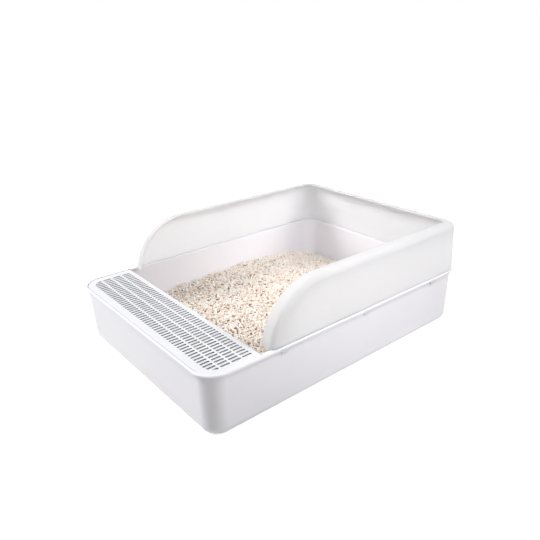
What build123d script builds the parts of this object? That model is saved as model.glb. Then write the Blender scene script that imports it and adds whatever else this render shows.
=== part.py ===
"""Semi-open litter box: a white tray, a frosted guard round three sides, a slotted step and a litter bed.

Millimetres, +Z up. The origin is on the floor under the middle of the tray. The entrance, with the step,
is at -Y and the guard stands round the other three sides.
"""
import os
from math import acos, ceil, cos, degrees, pi, radians, sin, sqrt

from build123d import *

# Tray: overall size, its leaning walls and its rim with a turned-down skirt
tray_length = 555.0
tray_width = 413.0
tray_height = 105.6
tray_wall = 3.0
tray_floor = 3.0
wall_lean = 2.8
wall_corner = 27.0
foot_round = 16.0
rim_corner = 35.5
rim_thickness = 2.6
rim_round = 2.5
rim_edge = 1.6
skirt_height = 4.5
skirt_thickness = 1.7

# Step: the slotted plate that lies in a seat in the rim at the entrance
step_depth = 89.3
step_thickness = 2.2
step_land = 3.7
step_clearance = 1.2
step_recess = 0.8
slot_length = 15.6
slot_width = 4.0
slot_pitch = 7.45
row_gap = 2.45
front_border = 12.45
back_border = 5.5
side_border = 12.0
field_border = 10.4
field_corner = 26.0
rib_thickness = 1.8
rib_drop = 6.0
rib_clearance = 8.0

# Guard: the three-sided wall with its top and front edges turned inward
guard_height = 86.9
guard_wall = 2.0
guard_draft = 1.6
guard_corner = 31.0
guard_to_step = 14.2
sweep_radius = 98.0
lip_width = 22.4
lip_round = 9.5
lip_corner = 8.0

# Tongues: the guard's tabs, which drop through slots in the rim between the skirt and the wall
tongue_count = 3
tongue_width = 12.0
tongue_drop = 12.5
tongue_round = 3.0
tongue_lead = 24.7
tongue_tail = 45.1
tongue_gap = 0.8
tongue_clearance = 0.4
tongue_play = 3.5

# Litter: the bed that lies in the tray, heaped in the middle, scraped down towards the back and raked
litter_front = 37.0
litter_crest = 48.4
litter_rear = 41.6
litter_back = 21.0
litter_rear_from_back = 90.0
litter_clearance = 0.3
hummock_height = 2.7
hummock_lengths = (31.0, 37.0, 45.0)
hummock_turns = (20.0, 85.0, 145.0)
hummock_spacing = 9.0

# Places that follow from the sizes above
rim_top = tray_height
guard_top = rim_top + guard_height
step_top = rim_top - step_recess
seat_level = step_top - step_thickness
guard_setback = skirt_thickness + tongue_gap
rim_overhang = guard_setback + guard_wall + tongue_gap
neck_width = tray_width - 2 * rim_overhang
neck_length = tray_length - 2 * rim_overhang
step_inset = step_land + step_clearance
step_width = tray_width - 2 * step_inset
step_corner = rim_corner - step_inset
step_front = -tray_length / 2 + step_inset
step_back = step_front + step_depth
row_pitch = slot_length + row_gap
slot_rows = int((step_depth - front_border - back_border + row_gap) / row_pitch)
slot_columns = int((step_width - 2 * side_border) / slot_pitch) + 1
guard_width = tray_width - 2 * guard_setback
guard_length = tray_length - 2 * guard_setback
guard_front = step_back + guard_to_step
sweep_level = guard_top - sweep_radius
sweep_middle = guard_front + sqrt(sweep_radius**2 - (rim_top - sweep_level) ** 2)
tongue_first = guard_front + tongue_lead
tongue_last = guard_length / 2 - guard_corner - tongue_tail
tongue_pitch = (tongue_last - tongue_first) / (tongue_count - 1)
tongue_places = [
    (side * (guard_width - guard_wall) / 2, tongue_first + place * tongue_pitch)
    for side in (-1, 1)
    for place in range(tongue_count)
]


def wall_inset(level):
    """How far the tray's leaning wall stands inside its neck at a height above the floor."""
    return wall_lean * (1 - level / tray_height)


def leaning_block(low, high, inset, foot):
    """Solid between two heights, parallel to the tray's walls and inset from them, on a rounded foot."""
    sections = []
    for level in (low, high):
        shrink = 2 * (inset + wall_inset(level))
        with BuildSketch(Plane.XY.offset(level)) as section:
            RectangleRounded(neck_width - shrink, neck_length - shrink, wall_corner - inset)
        sections.append(section.sketch.face())
    with BuildPart() as block:
        loft(sections, ruled=True)
        fillet(block.edges().group_by(Axis.Z)[0], foot)
    return block.part


def hummock(x, y):
    """How far the raked top stands above or below the heap at a place: three waves that cross."""
    waves = [
        sin(2 * pi * (x * cos(radians(turn)) + y * sin(radians(turn))) / length)
        for length, turn in zip(hummock_lengths, hummock_turns)
    ]
    return hummock_height * sum(waves) / len(waves)


def step_outline(growth):
    """Outline of the step plate, grown by a clearance, with its two front corners rounded."""
    with Locations((0, (step_front + step_back) / 2)):
        Rectangle(step_width + 2 * growth, step_depth + 2 * growth)
    fillet(vertices().group_by(Axis.Y)[0], step_corner + growth)


def hood(inset):
    """Closed block of the guard's outer shape, inset from its skin, with the rounded top and front edges."""
    foot_reach = sqrt((sweep_radius - inset) ** 2 - (rim_top - sweep_level) ** 2)
    with BuildPart() as block:
        with BuildSketch(Plane.XY.offset(rim_top)):
            RectangleRounded(guard_width - 2 * inset, guard_length - 2 * inset, guard_corner - inset)
        extrude(amount=guard_height, taper=guard_draft)
        with BuildSketch(Plane.YZ):
            with BuildLine():
                sweep = degrees(acos((sweep_radius - guard_height) / (sweep_radius - inset)))
                CenterArc((sweep_middle, sweep_level), sweep_radius - inset, 90, sweep)
                Polyline(
                    (sweep_middle, guard_top - inset),
                    (tray_length / 2, guard_top - inset),
                    (tray_length / 2, rim_top),
                    (sweep_middle - foot_reach, rim_top),
                )
            make_face()
        extrude(amount=tray_width, both=True, mode=Mode.INTERSECT)
        top = block.faces().sort_by(Axis.Z)[-1]
        front = block.faces().filter_by(GeomType.CYLINDER).sort_by(Axis.Y)[0]
        edges = ShapeList(set(top.edges() + front.edges()))
        crossing = edges.filter_by(Axis.X).sort_by(Axis.Y)[:-1]
        fillet(edges - crossing, lip_round - inset)
    return block.part


os.makedirs("parts", exist_ok=True)

# Tray: leaning walls on a rounded foot, under a flat rim with a turned-down skirt
tray_outside = leaning_block(0, tray_height, 0, foot_round)
tray_inside = leaning_block(tray_floor, tray_height, tray_wall, foot_round - tray_wall)
with BuildPart() as tray:
    add(tray_outside)
    with BuildSketch(Plane.XY.offset(rim_top - rim_thickness)):
        RectangleRounded(tray_width, tray_length, rim_corner)
    extrude(amount=rim_thickness)
    with BuildSketch(Plane.XY.offset(rim_top - skirt_height)):
        RectangleRounded(tray_width, tray_length, rim_corner)
        offset(amount=-skirt_thickness, mode=Mode.SUBTRACT)
    extrude(amount=skirt_height)
    with BuildSketch(Plane.XY.offset(rim_top - skirt_height)):
        RectangleRounded(tray_width, tray_length, rim_corner)
        with Locations((0, step_back + rim_thickness)):
            Rectangle(tray_width, tray_length, align=(Align.CENTER, Align.MAX), mode=Mode.INTERSECT)
    extrude(amount=skirt_height)
    add(tray_inside, mode=Mode.SUBTRACT)
    rim_face = tray.faces().filter_by(Axis.Z).sort_by(Axis.Z)[-1]
    inner_edges = rim_face.inner_wires().edges()
    fillet(rim_face.outer_wire().edges(), rim_round)
    fillet(inner_edges, rim_edge)
    with BuildSketch(Plane.XY.offset(seat_level)):
        step_outline(step_clearance)
    extrude(amount=rim_top - seat_level, mode=Mode.SUBTRACT)
    with BuildSketch(Plane.XY.offset(rim_top)):
        with Locations(*tongue_places):
            Rectangle(guard_wall + 2 * tongue_clearance, tongue_width + 2 * tongue_play)
    extrude(amount=-rim_thickness, mode=Mode.SUBTRACT)
tray.part.label = "tray"
export_step(tray.part, "parts/tray.step")

# Litter bed: the granules as one block that fills the tray up to their heaped and raked top
litter_high = litter_crest + 2 * hummock_height
litter_block = leaning_block(tray_floor, litter_high, tray_wall + litter_clearance, foot_round - tray_wall)
litter_end = neck_length / 2
litter_rows = ceil(neck_length / hummock_spacing)
litter_columns = ceil(neck_width / hummock_spacing)
with BuildLine():
    heap = Spline(
        (-litter_end, litter_front),
        (0, litter_crest),
        (litter_end - litter_rear_from_back, litter_rear),
        (litter_end, litter_back),
    )
raked_points = []
for row in range(litter_rows + 1):
    spot = heap @ (row / litter_rows)
    across = [neck_width * (column / litter_columns - 0.5) for column in range(litter_columns + 1)]
    raked_points.append([(x, spot.X, spot.Y + hummock(x, spot.X)) for x in across])
raked_top = Face.make_surface_from_array_of_points(raked_points)
with BuildPart() as litter_bed:
    add(litter_block)
    extrude(raked_top, amount=litter_high, dir=(0, 0, -1), mode=Mode.INTERSECT)
litter_bed.part.label = "litter_bed"
export_step(litter_bed.part, "parts/litter_bed.step")

# Step: slotted plate, stiffened underneath by a rib between the rows and along its back edge
rib_level = seat_level - rib_drop
rib_length = neck_width - 2 * (tray_wall + wall_inset(rib_level) + rib_clearance)
first_row = step_front + front_border + slot_length / 2
last_row = first_row + (slot_rows - 1) * row_pitch
with BuildPart() as step_grate:
    with BuildSketch(Plane.XY.offset(seat_level)):
        step_outline(0)
    extrude(amount=step_thickness)
    with BuildSketch(Plane.XY.offset(seat_level)):
        with Locations((0, (first_row + last_row) / 2)):
            with GridLocations(slot_pitch, row_pitch, slot_columns, slot_rows):
                SlotOverall(slot_length, slot_width, rotation=90)
        with Locations((0, step_front + field_border)):
            RectangleRounded(
                step_width - 2 * field_border,
                2 * step_depth,
                field_corner,
                align=(Align.CENTER, Align.MIN),
                mode=Mode.INTERSECT,
            )
    extrude(amount=step_thickness, mode=Mode.SUBTRACT)
    with BuildSketch(Plane.XY.offset(seat_level)):
        with Locations((0, (first_row + last_row) / 2)):
            with GridLocations(0, row_pitch, 1, slot_rows - 1):
                Rectangle(rib_length, rib_thickness)
        with Locations((0, step_back)):
            Rectangle(rib_length, rib_thickness, align=(Align.CENTER, Align.MAX))
    extrude(amount=-rib_drop)
step_grate.part.label = "step_grate"
export_step(step_grate.part, "parts/step_grate.step")

# Guard: one shell with its top and front edges turned inward, on tongues that drop through the rim
guard_outside = hood(0)
guard_inside = hood(guard_wall)
opening_width = guard_width - 2 * lip_width
opening_back = guard_length / 2 - lip_width
with BuildPart() as splash_guard:
    add(guard_outside)
    add(guard_inside, mode=Mode.SUBTRACT)
    with BuildSketch(Plane.XY.offset(rim_top)):
        with Locations((0, opening_back)):
            Rectangle(opening_width, tray_length, align=(Align.CENTER, Align.MAX))
        fillet(vertices().group_by(Axis.Y)[-1], lip_corner)
    extrude(amount=guard_height, mode=Mode.SUBTRACT)
    with BuildSketch(Plane.XY.offset(rim_top)):
        with Locations(*tongue_places):
            Rectangle(guard_wall, tongue_width)
    extrude(amount=-tongue_drop)
    fillet(splash_guard.edges().filter_by(Axis.X).group_by(Axis.Z)[0], tongue_round)
splash_guard.part.label = "splash_guard"
export_step(splash_guard.part, "parts/splash_guard.step")
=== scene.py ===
"""Looks of the semi-open litter box: white tray, plant-fibre litter, slotted step and frosted guard.

Metres, +Z up, in the CAD model's frame. The entrance with the step faces -Y.
"""
import math
import random

import bmesh
import bpy
from mathutils import Euler, Matrix, Vector
from mathutils.bvhtree import BVHTree


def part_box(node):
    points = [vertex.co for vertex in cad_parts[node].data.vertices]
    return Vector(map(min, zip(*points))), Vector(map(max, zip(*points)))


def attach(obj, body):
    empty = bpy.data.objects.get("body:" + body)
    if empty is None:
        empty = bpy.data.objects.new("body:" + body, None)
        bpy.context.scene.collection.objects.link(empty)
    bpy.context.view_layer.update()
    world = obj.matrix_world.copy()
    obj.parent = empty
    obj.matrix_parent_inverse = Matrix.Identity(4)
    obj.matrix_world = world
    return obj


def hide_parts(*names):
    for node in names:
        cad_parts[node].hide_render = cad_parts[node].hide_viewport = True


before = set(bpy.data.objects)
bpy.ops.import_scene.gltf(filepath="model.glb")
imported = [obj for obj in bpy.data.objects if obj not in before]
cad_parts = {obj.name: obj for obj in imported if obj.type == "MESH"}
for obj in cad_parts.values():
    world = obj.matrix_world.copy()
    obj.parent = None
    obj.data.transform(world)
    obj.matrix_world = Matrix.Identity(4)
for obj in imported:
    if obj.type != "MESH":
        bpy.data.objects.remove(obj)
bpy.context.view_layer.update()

# Tray: one injection moulding in white polypropylene, with leaning walls under a flat rim and its skirt.
# The mould leaves a fine satin grain, and the walls draw in a little as they cool, so their shine wavers.
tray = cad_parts["tray"]


class Finish:
    """One value of a finish, as an output socket. Sums and products of values add Math nodes."""

    def __init__(self, socket):
        self.socket = socket

    def node(self, kind, settings, sockets, output=0):
        """Adds a node to the same finish: its settings first, then the values or links of its sockets."""
        tree = self.socket.id_data
        made = tree.nodes.new(kind)
        for name, value in settings.items():
            if name == "stops":
                stops = made.color_ramp.elements
                while len(stops) < len(value):
                    stops.new(1.0)
                for stop, (position, colour) in zip(stops, value):
                    stop.position = position
                    stop.color = (*colour, 1.0)
            else:
                setattr(made, name, value)
        for name, value in sockets.items():
            if isinstance(value, Finish):
                tree.links.new(value.socket, made.inputs[name])
            else:
                made.inputs[name].default_value = value
        return Finish(made.outputs[output])

    def __add__(self, other):
        return self.node("ShaderNodeMath", {"operation": "ADD"}, {0: self, 1: other})

    def __sub__(self, other):
        return self.node("ShaderNodeMath", {"operation": "SUBTRACT"}, {0: self, 1: other})

    def __rsub__(self, other):
        return self.node("ShaderNodeMath", {"operation": "SUBTRACT"}, {0: other, 1: self})

    def __mul__(self, other):
        return self.node("ShaderNodeMath", {"operation": "MULTIPLY"}, {0: self, 1: other})

    __radd__ = __add__
    __rmul__ = __mul__


def open_finish(name):
    """New material with nothing but its output, and the Object coordinates that its patterns follow."""
    material = bpy.data.materials.new(name)
    material.use_nodes = True
    tree = material.node_tree
    tree.nodes.remove(tree.nodes["Principled BSDF"])
    return material, Finish(tree.nodes.new("ShaderNodeTexCoord").outputs["Object"])


def close_finish(material, surface):
    """Leads the finished surface to the material's output."""
    tree = material.node_tree
    tree.links.new(surface.socket, tree.nodes["Material Output"].inputs["Surface"])


def noise(place, scale, detail):
    """Cloudy value about 0.5 that changes from place to place."""
    return place.node("ShaderNodeTexNoise", {}, {"Vector": place, "Scale": scale, "Detail": detail})


def mix_colours(amount, first, second):
    """Colour that goes from the first to the second as the amount goes from 0 to 1."""
    return amount.node("ShaderNodeMix", {"data_type": "RGBA"}, {0: amount, 6: first, 7: second}, 2)


def bump(height, strength, distance, **carried):
    """Normal of a surface that the height raises, over another Normal where one is carried."""
    sockets = {"Strength": strength, "Distance": distance, "Height": height, **carried}
    return height.node("ShaderNodeBump", {}, sockets)


white_plastic, place = open_finish("white_plastic")
draw = noise(place, scale=11.0, detail=2.0)
grain = noise(place, scale=1500.0, detail=3.0)
white = mix_colours(draw, (0.86, 0.845, 0.885, 1.0), (0.9, 0.885, 0.92, 1.0))
drawn = bump(draw, strength=0.25, distance=0.002)
grained = bump(grain, strength=0.12, distance=0.0002, Normal=drawn)
tray_surface = place.node(
    "ShaderNodeBsdfPrincipled",
    {},
    {"Base Color": white, "Roughness": 0.3 + 0.08 * draw + 0.06 * grain, "IOR": 1.49, "Normal": grained},
)
close_finish(white_plastic, tray_surface)
tray.material_slots[0].material = white_plastic

# Litter: short sticks of pressed plant fibre, poured into the tray and raked into a low heap.
# They are cream to tan with the odd browner one, and the sticks lower down are coloured brown as painted
# shade.
# A sunken copy of the solid heap closes the gaps between them with painted warm brown shade, a dark brown
# colour for the shade between the sticks.
stick_radius = 0.00135
stick_length = 0.0061
stick_sides = 6
stick_chamfer = 0.0005
stick_spacing = 0.0056
stick_stretch = (0.75, 1.35)
stick_scatter = (-0.0014, 0.001)
stick_tilt = 0.3
# The lowest layer's small tone cap is painted shade: those sticks are coloured brown for the shade deep in
# the litter.
layer_tones_and_shade = (1.0, 1.0, 0.1)
layer_drop = 0.0023
heap_sink = 0.0042
heap_foot = 0.015
overhead = 1.0
touching = 1e-6
litter_pieces = 7
litter_low, litter_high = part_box("litter_bed")
litter_span = litter_high - litter_low
chance = random.Random(4)


def add_object(name, data):
    """New object in the scene, at the origin."""
    made = bpy.data.objects.new(name, data)
    bpy.context.scene.collection.objects.link(made)
    return made


heap = bmesh.new()
heap.from_mesh(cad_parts["litter_bed"].data)
bmesh.ops.remove_doubles(heap, verts=heap.verts, dist=touching)
heap_top = BVHTree.FromBMesh(heap)
raised = [vertex for vertex in heap.verts if vertex.co.z > litter_low.z + heap_foot]
bmesh.ops.translate(heap, verts=raised, vec=(0, 0, -heap_sink))
heap_mesh = bpy.data.meshes.new("litter_heap")
heap.to_mesh(heap_mesh)
litter_heap = add_object("litter_heap", heap_mesh)

stick = bmesh.new()
bmesh.ops.create_cone(
    stick,
    cap_ends=True,
    segments=stick_sides,
    radius1=stick_radius,
    radius2=stick_radius,
    depth=stick_length,
)
end_edges = [edge for edge in stick.edges if abs(edge.verts[0].co.z - edge.verts[1].co.z) < touching]
bmesh.ops.bevel(
    stick, geom=end_edges, offset=stick_chamfer, segments=1, profile=0.5, affect="EDGES", material=-1
)
for face in stick.faces:
    face.smooth = True
stick_mesh = bpy.data.meshes.new("litter_stick")
stick_points = len(stick.verts)

piles = [bmesh.new() for piece in range(litter_pieces)]
tones_and_shade = [[] for piece in range(litter_pieces)]
columns = int(litter_span.x / stick_spacing)
rows = int(litter_span.y / stick_spacing)
for layer, tone_and_shade_cap in enumerate(layer_tones_and_shade):
    for row in range(rows):
        for column in range(columns):
            x = litter_low.x + (column + chance.random()) * stick_spacing
            y = litter_low.y + (row + chance.random()) * stick_spacing
            turn = chance.uniform(0, math.pi)
            stretch = chance.uniform(*stick_stretch)
            reach = stretch * stick_length / 2 + stick_radius
            x = min(max(x, litter_low.x + reach), litter_high.x - reach)
            y = min(max(y, litter_low.y + reach), litter_high.y - reach)
            top = heap_top.ray_cast(Vector((x, y, overhead)), Vector((0, 0, -1)))[0]
            if top is None:
                continue
            level = top.z + chance.uniform(*stick_scatter) - layer * layer_drop
            tilt = math.pi / 2 + chance.gauss(0, stick_tilt)
            pose = Matrix.LocRotScale(
                Vector((x, y, level)), Euler((tilt, 0, turn)), Vector((1, 1, stretch))
            )
            piece = min(int((y - litter_low.y) / litter_span.y * litter_pieces), litter_pieces - 1)
            stick.to_mesh(stick_mesh)
            stick_mesh.transform(pose)
            piles[piece].from_mesh(stick_mesh)
            tones_and_shade[piece].append(tone_and_shade_cap * chance.random())

fibre, place = open_finish("pressed_fibre")
fibre_colours = [
    (0.0, (0.55, 0.31, 0.19)),
    (0.13, (0.83, 0.63, 0.49)),
    (0.3, (0.94, 0.87, 0.79)),
    (1.0, (0.97, 0.945, 0.905)),
]
# The tone attribute holds each stick's random tone, and painted shade for the lowest layer.
tone = place.node("ShaderNodeAttribute", {"attribute_name": "tone"}, {}, "Fac")
speck = noise(place, scale=700.0, detail=2.0)
fleck = place.node("ShaderNodeValToRGB", {"stops": fibre_colours}, {0: 0.75 * tone + 0.5 * speck - 0.1})
rough = bump(speck, strength=0.4, distance=0.0003)
fibre_surface = place.node(
    "ShaderNodeBsdfPrincipled", {}, {"Base Color": fleck, "Roughness": 0.75 + 0.15 * speck, "Normal": rough}
)
close_finish(fibre, fibre_surface)

# Painted shade: the sunken heap's dark brown stands for the shade in the gaps between the sticks.
painted_shade_finish, place = open_finish("painted_shade_fibre")
patch = noise(place, scale=260.0, detail=3.0)
shade = mix_colours(patch, (0.3, 0.13, 0.06, 1.0), (0.56, 0.34, 0.21, 1.0))
lumps = bump(patch, strength=0.6, distance=0.002)
shade_surface = place.node(
    "ShaderNodeBsdfPrincipled", {}, {"Base Color": shade, "Roughness": 0.8 + 0.1 * patch, "Normal": lumps}
)
close_finish(painted_shade_finish, shade_surface)

heap_mesh.materials.append(painted_shade_finish)
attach(litter_heap, "tray")
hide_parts("litter_bed")
for piece, pile in enumerate(piles):
    tone_and_shade_layer = pile.verts.layers.float.new("tone")
    for index, vertex in enumerate(pile.verts):
        vertex[tone_and_shade_layer] = tones_and_shade[piece][index // stick_points]
    pile_mesh = bpy.data.meshes.new(f"litter_{piece + 1}")
    pile.to_mesh(pile_mesh)
    pile_mesh.materials.append(fibre)
    litter = add_object(f"litter_{piece + 1}", pile_mesh)
    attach(litter, "tray")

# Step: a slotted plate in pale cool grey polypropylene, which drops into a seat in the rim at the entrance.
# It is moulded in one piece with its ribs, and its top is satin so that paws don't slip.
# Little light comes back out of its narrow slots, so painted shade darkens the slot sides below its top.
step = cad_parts["step_grate"]
step_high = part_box("step_grate")[1]
step_thickness = 0.0022
seat_level = step_high.z - step_thickness
slot_edge = 0.0001
slot_depth = 0.0006
seat_edge = 0.0003
grey_plastic, place = open_finish("grey_plastic")
draw = noise(place, scale=15.0, detail=2.0)
grain = noise(place, scale=1800.0, detail=3.0)
grey = mix_colours(draw, (0.79, 0.795, 0.83, 1.0), (0.83, 0.835, 0.86, 1.0))
height = place.node("ShaderNodeSeparateXYZ", {}, {0: place}, "Z")
under_top = place.node(
    "ShaderNodeMapRange",
    {"interpolation_type": "SMOOTHSTEP"},
    {"Value": height, "From Min": step_high.z - slot_edge, "From Max": step_high.z - slot_depth},
)
over_seat = place.node(
    "ShaderNodeMapRange",
    {},
    {"Value": height, "From Min": seat_level + slot_edge, "From Max": seat_level + seat_edge},
)
# Painted shade: the slot sides between the top and the seat are coloured dark grey for the shade in the
# narrow slots.
slot_painted_shade = mix_colours(0.9 * under_top * over_seat, grey, (0.27, 0.27, 0.3, 1.0))
grained = bump(grain, strength=0.15, distance=0.0002)
step_surface = place.node(
    "ShaderNodeBsdfPrincipled",
    {},
    {"Base Color": slot_painted_shade, "Roughness": 0.42 + 0.1 * grain, "IOR": 1.49, "Normal": grained},
)
close_finish(grey_plastic, step_surface)
step.material_slots[0].material = grey_plastic

# Guard: a thin wall round three sides, moulded in frosted polypropylene that lets a milky light through.
# Its top and front edges are turned inward, and six tongues drop through the tray's rim and hold it.
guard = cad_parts["splash_guard"]
frosted_plastic, place = open_finish("frosted_plastic")
draw = noise(place, scale=9.0, detail=2.0)
grain = noise(place, scale=1300.0, detail=3.0)
milk = mix_colours(draw, (0.85, 0.845, 0.865, 1.0), (0.88, 0.875, 0.89, 1.0))
grained = bump(grain, strength=0.2, distance=0.0002)
guard_surface = place.node(
    "ShaderNodeBsdfPrincipled",
    {},
    {
        "Base Color": milk,
        "Roughness": 0.5 + 0.08 * grain,
        "IOR": 1.2,
        "Transmission Weight": 0.25,
        "Subsurface Weight": 1.0,
        "Subsurface Radius": (1.0, 0.92, 0.88),
        "Subsurface Scale": 0.008,
        "Normal": grained,
    },
)
close_finish(frosted_plastic, guard_surface)
guard.material_slots[0].material = frosted_plastic

# Studio: a plain white floor that runs out of the picture, with a softbox on either side of the tray.
# Three narrow lamps lift the inside, the near wall of the guard and the far corner.
# The floor looks white where nothing shades it, and keeps the thin shadow along the tray's foot.
floor_size = 8.0
shade_start = 0.4
shade_end = 1.2
foot_glow = 0.75
room_glow = 0.04
pure_white = (1.0, 1.0, 1.0, 1.0)
floor_bm = bmesh.new()
bmesh.ops.create_grid(floor_bm, x_segments=1, y_segments=1, size=floor_size / 2)
floor_mesh = bpy.data.meshes.new("floor")
floor_bm.to_mesh(floor_mesh)
floor = add_object("floor", floor_mesh)


def on_show(place):
    """1 for what the camera sees, straight, mirrored or through plastic, and 0 for other light."""
    seen = place.node("ShaderNodeLightPath", {}, {}, "Is Camera Ray")
    mirrored = place.node("ShaderNodeLightPath", {}, {}, "Is Glossy Ray")
    passed = place.node("ShaderNodeLightPath", {}, {}, "Is Transmission Ray")
    return seen + mirrored + passed


paper, place = open_finish("white_paper")
away = place.node("ShaderNodeVectorMath", {"operation": "LENGTH"}, {0: place}, "Value")
clear = place.node(
    "ShaderNodeMapRange",
    {"interpolation_type": "SMOOTHSTEP"},
    {"Value": away, "From Min": shade_start, "From Max": shade_end, "To Min": foot_glow, "To Max": 1.0},
)
matte = place.node("ShaderNodeBsdfDiffuse", {}, {"Color": (0.65, 0.65, 0.65, 1.0)})
glow = place.node("ShaderNodeEmission", {}, {"Color": pure_white, "Strength": clear * on_show(place)})
close_finish(paper, place.node("ShaderNodeAddShader", {}, {0: matte, 1: glow}))
floor_mesh.materials.append(paper)

world = bpy.data.worlds.new("studio")
world.use_nodes = True
bpy.context.scene.world = world
room_node = world.node_tree.nodes["Background"]
room_node.inputs["Color"].default_value = pure_white
room_node.inputs["Strength"].default_value = room_glow
room = Finish(room_node.outputs["Background"])
backdrop = room.node("ShaderNodeBackground", {}, {"Color": pure_white, "Strength": 1.0})
surround = room.node("ShaderNodeMixShader", {}, {0: on_show(room), 1: room, 2: backdrop})
world.node_tree.links.new(surround.socket, world.node_tree.nodes["World Output"].inputs["Surface"])

softbox_size = 1.2
softbox_aim = Vector((0, 0, 0.08))
lamp_distance = 2.0
lamp_radius = 0.2


def hang_lamp(lamp, spot, aim):
    """Hangs a lamp at a spot, turned to what it is aimed at."""
    turned = (aim - spot).to_track_quat("-Z", "Y").to_matrix().to_4x4()
    add_object(lamp.name, lamp).matrix_world = Matrix.Translation(spot) @ turned


def hang_softbox(name, spot, power):
    """Square softbox at a spot, turned to the middle of the tray."""
    lamp = bpy.data.lights.new(name, "AREA")
    lamp.shape = "SQUARE"
    lamp.size = softbox_size
    lamp.energy = power
    hang_lamp(lamp, Vector(spot), softbox_aim)


def aim_lamp(name, aim, way, width, power):
    """Round lamp some way off from what it is aimed at, snooted to a narrow pool that fades to its edge."""
    lamp = bpy.data.lights.new(name, "SPOT")
    lamp.energy = power
    lamp.spot_size = math.radians(width)
    lamp.spot_blend = 1.0
    lamp.shadow_soft_size = lamp_radius
    hang_lamp(lamp, Vector(aim) + lamp_distance * Vector(way).normalized(), Vector(aim))


hang_softbox("left_softbox", (-1.25, -1.2, 1.5), 50.0)
hang_softbox("right_softbox", (1.4, 1.1, 1.5), 36.0)
aim_lamp("inside_lamp", (-0.1, 0.15, 0.0), (0.66, -0.56, 0.62), 17, 76.0)
aim_lamp("near_lamp", (0.1, 0.16, 0.2), (0.8, -0.3, 0.45), 16, 24.0)
aim_lamp("corner_lamp", (-0.16, 0.25, 0.09), (0.7, -0.6, 0.5), 11, 28.0)

# Camera: in front of the tray's near corner and a little above it, as the photograph was taken.
# Its picture centre lies a little off the middle of the frame, as the fit to the photograph's edges gives.
view_turn = math.radians(49.288)
view_tilt = math.radians(23.046)
view_roll = math.radians(-0.851)
view_distance = 1.066
view_middle = Vector((-0.0109, 0.0624, 0.1))
lens = bpy.data.cameras.new("camera")
lens.sensor_width = 36.0
lens.lens = 37.455
lens.shift_x = -0.04783
lens.shift_y = -0.00686
camera = add_object("camera", lens)
stand = Matrix.Rotation(view_turn, 4, "Z") @ Matrix.Rotation(math.pi / 2 - view_tilt, 4, "X")
held = Matrix.Translation((0, 0, view_distance)) @ Matrix.Rotation(view_roll, 4, "Z")
camera.matrix_world = Matrix.Translation(view_middle) @ stand @ held
bpy.context.scene.camera = camera

bpy.context.scene.view_settings.view_transform = "Standard"
